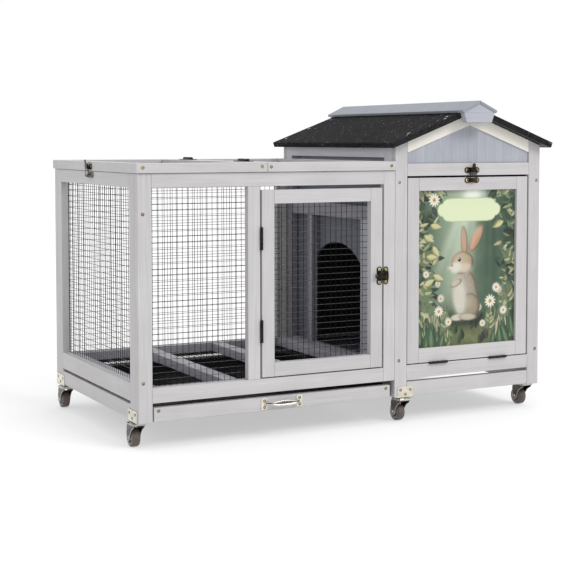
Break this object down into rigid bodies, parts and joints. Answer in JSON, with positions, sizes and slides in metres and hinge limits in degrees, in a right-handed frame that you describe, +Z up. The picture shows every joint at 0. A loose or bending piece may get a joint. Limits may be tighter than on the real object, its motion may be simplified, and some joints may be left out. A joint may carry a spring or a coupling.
{
  "type": "rabbit hutch",
  "caption": "Painted wooden rabbit hutch on casters: wire run with lift-up lid, mesh door and pull-out tray, joined to a gabled house with a drop-down flap.",
  "frame": {"origin": "bottom centre of the hutch's box, on the floor under the casters", "axes": "+Z up; +X along the front from the run to the house; -Y is the front with the door, flap and tray handle"},
  "size_m": [0.99, 0.598, 0.687],
  "materials": {
    "paint": "light grey satin paint on softwood",
    "blue_paint": "blue-grey satin paint on tongue-and-groove boards",
    "roof_felt": "boards covered in charcoal mineral felt",
    "wire": "black coated welded wire",
    "tray_black": "black moulded plastic",
    "zinc": "bright zinc plate",
    "hinge_black": "black coated steel",
    "latch_bronze": "antique bronze plate",
    "screw_brass": "yellow zinc-plated screw heads",
    "wheel": "dark grey-brown rubber tread",
    "picture": "printed panel with a plain leaf and flower pattern"
  },
  "bodies": {
    "root": {"run_front_frame": "paint", "run_front_mesh": "wire", "run_left_frame": "paint", "run_left_mesh": "wire", "run_left_skirt": "paint", "run_back_frame": "paint", "run_back_mesh": "wire", "run_back_skirt": "paint", "run_top_frame": "paint", "run_top_mesh": "wire", "run_floor_frame": "paint", "run_floor_wire": "wire", "tray_runner_left": "paint", "tray_runner_right": "paint", "house_front_frame": "paint", "gable_board_left": "paint", "gable_board_right": "paint", "gable_panel_front": "blue_paint", "house_front_skirt": "paint", "house_left_frame": "paint", "house_left_panel": "blue_paint", "house_right_frame": "paint", "house_right_panel": "blue_paint", "house_back_frame": "paint", "house_back_panel": "blue_paint", "house_floor": "blue_paint", "roof_board_left": "roof_felt", "roof_board_right": "roof_felt", "ridge_cap": "blue_paint", "door_hinge_upper": "hinge_black", "door_hinge_lower": "hinge_black", "flap_hinge_left": "hinge_black", "flap_hinge_right": "hinge_black", "lid_hinge_front": "hinge_black", "lid_hinge_rear": "hinge_black"},
    "run_door": {"run_door_frame": "paint", "run_door_mesh": "wire"},
    "door_latch": {"door_latch_lever": "latch_bronze"},
    "house_flap": {"flap_frame": "paint", "flap_panel": "picture"},
    "flap_latch": {"flap_latch_lever": "latch_bronze"},
    "run_lid": {"run_lid_frame": "paint", "run_lid_mesh": "wire"},
    "lid_latch": {"lid_latch_lever": "latch_bronze"},
    "tray": {"tray_pan": "tray_black", "tray_front": "paint", "tray_handle": "zinc"},
    "caster_front_left": {"caster_fork_front_left": "zinc"},
    "wheel_front_left": {"caster_wheel_front_left": "wheel"},
    "caster_rear_left": {"caster_fork_rear_left": "zinc"},
    "wheel_rear_left": {"caster_wheel_rear_left": "wheel"},
    "caster_front_mid": {"caster_fork_front_mid": "zinc"},
    "wheel_front_mid": {"caster_wheel_front_mid": "wheel"},
    "caster_rear_mid": {"caster_fork_rear_mid": "zinc"},
    "wheel_rear_mid": {"caster_wheel_rear_mid": "wheel"},
    "caster_front_right": {"caster_fork_front_right": "zinc"},
    "wheel_front_right": {"caster_wheel_front_right": "wheel"},
    "caster_rear_right": {"caster_fork_rear_right": "zinc"},
    "wheel_rear_right": {"caster_wheel_rear_right": "wheel"}
  },
  "joints": [
    {"name": "run_door_hinge", "type": "hinge", "parent": "root", "child": "run_door", "pos_m": [-0.21804, -0.2642, 0.3115], "axis": [0, 0, -1], "range_deg": [0, 115]},
    {"name": "door_latch_pivot", "type": "hinge", "parent": "run_door", "child": "door_latch", "pos_m": [0.05996, -0.2654, 0.317], "axis": [0, 0, 1], "range_deg": [0, 110]},
    {"name": "flap_hinge", "type": "hinge", "parent": "root", "child": "house_flap", "pos_m": [0.28396, -0.2642, 0.1227], "axis": [1, 0, 0], "range_deg": [0, 100]},
    {"name": "flap_latch_pivot", "type": "hinge", "parent": "root", "child": "flap_latch", "pos_m": [0.29146, -0.2654, 0.5345], "axis": [1, 0, 0], "range_deg": [0, 110]},
    {"name": "lid_hinge", "type": "hinge", "parent": "root", "child": "run_lid", "pos_m": [-0.20464, 0, 0.5608], "axis": [0, 1, 0], "range_deg": [0, 170]},
    {"name": "lid_latch_pivot", "type": "hinge", "parent": "run_lid", "child": "lid_latch", "pos_m": [-0.48844, 0.012, 0.5445], "axis": [0, -1, 0], "range_deg": [0, 110]},
    {"name": "tray_slide", "type": "slide", "parent": "root", "child": "tray", "axis": [0, -1, 0], "range_m": [0, 0.45]},
    {"name": "caster_swivel_front_left", "type": "hinge", "parent": "root", "child": "caster_front_left", "pos_m": [-0.47304, -0.23, 0.0505], "axis": [0, 0, 1], "continuous": true},
    {"name": "caster_axle_front_left", "type": "hinge", "parent": "caster_front_left", "child": "wheel_front_left", "pos_m": [-0.47304, -0.21, 0.019], "axis": [-1, 0, 0], "continuous": true},
    {"name": "caster_swivel_rear_left", "type": "hinge", "parent": "root", "child": "caster_rear_left", "pos_m": [-0.47304, 0.214, 0.0505], "axis": [0, 0, 1], "continuous": true},
    {"name": "caster_axle_rear_left", "type": "hinge", "parent": "caster_rear_left", "child": "wheel_rear_left", "pos_m": [-0.47304, 0.234, 0.019], "axis": [-1, 0, 0], "continuous": true},
    {"name": "caster_swivel_front_mid", "type": "hinge", "parent": "root", "child": "caster_front_mid", "pos_m": [0.11896, -0.256, 0.0505], "axis": [0, 0, 1], "continuous": true},
    {"name": "caster_axle_front_mid", "type": "hinge", "parent": "caster_front_mid", "child": "wheel_front_mid", "pos_m": [0.11896, -0.236, 0.019], "axis": [-1, 0, 0], "continuous": true},
    {"name": "caster_swivel_rear_mid", "type": "hinge", "parent": "root", "child": "caster_rear_mid", "pos_m": [0.11096, 0.239, 0.0505], "axis": [0, 0, 1], "continuous": true},
    {"name": "caster_axle_rear_mid", "type": "hinge", "parent": "caster_rear_mid", "child": "wheel_rear_mid", "pos_m": [0.11096, 0.259, 0.019], "axis": [-1, 0, 0], "continuous": true},
    {"name": "caster_swivel_front_right", "type": "hinge", "parent": "root", "child": "caster_front_right", "pos_m": [0.45996, -0.23, 0.0505], "axis": [0, 0, 1], "continuous": true},
    {"name": "caster_axle_front_right", "type": "hinge", "parent": "caster_front_right", "child": "wheel_front_right", "pos_m": [0.45996, -0.21, 0.019], "axis": [-1, 0, 0], "continuous": true},
    {"name": "caster_swivel_rear_right", "type": "hinge", "parent": "root", "child": "caster_rear_right", "pos_m": [0.45996, 0.214, 0.0505], "axis": [0, 0, 1], "continuous": true},
    {"name": "caster_axle_rear_right", "type": "hinge", "parent": "caster_rear_right", "child": "wheel_rear_right", "pos_m": [0.45996, 0.234, 0.019], "axis": [-1, 0, 0], "continuous": true}
  ]
}
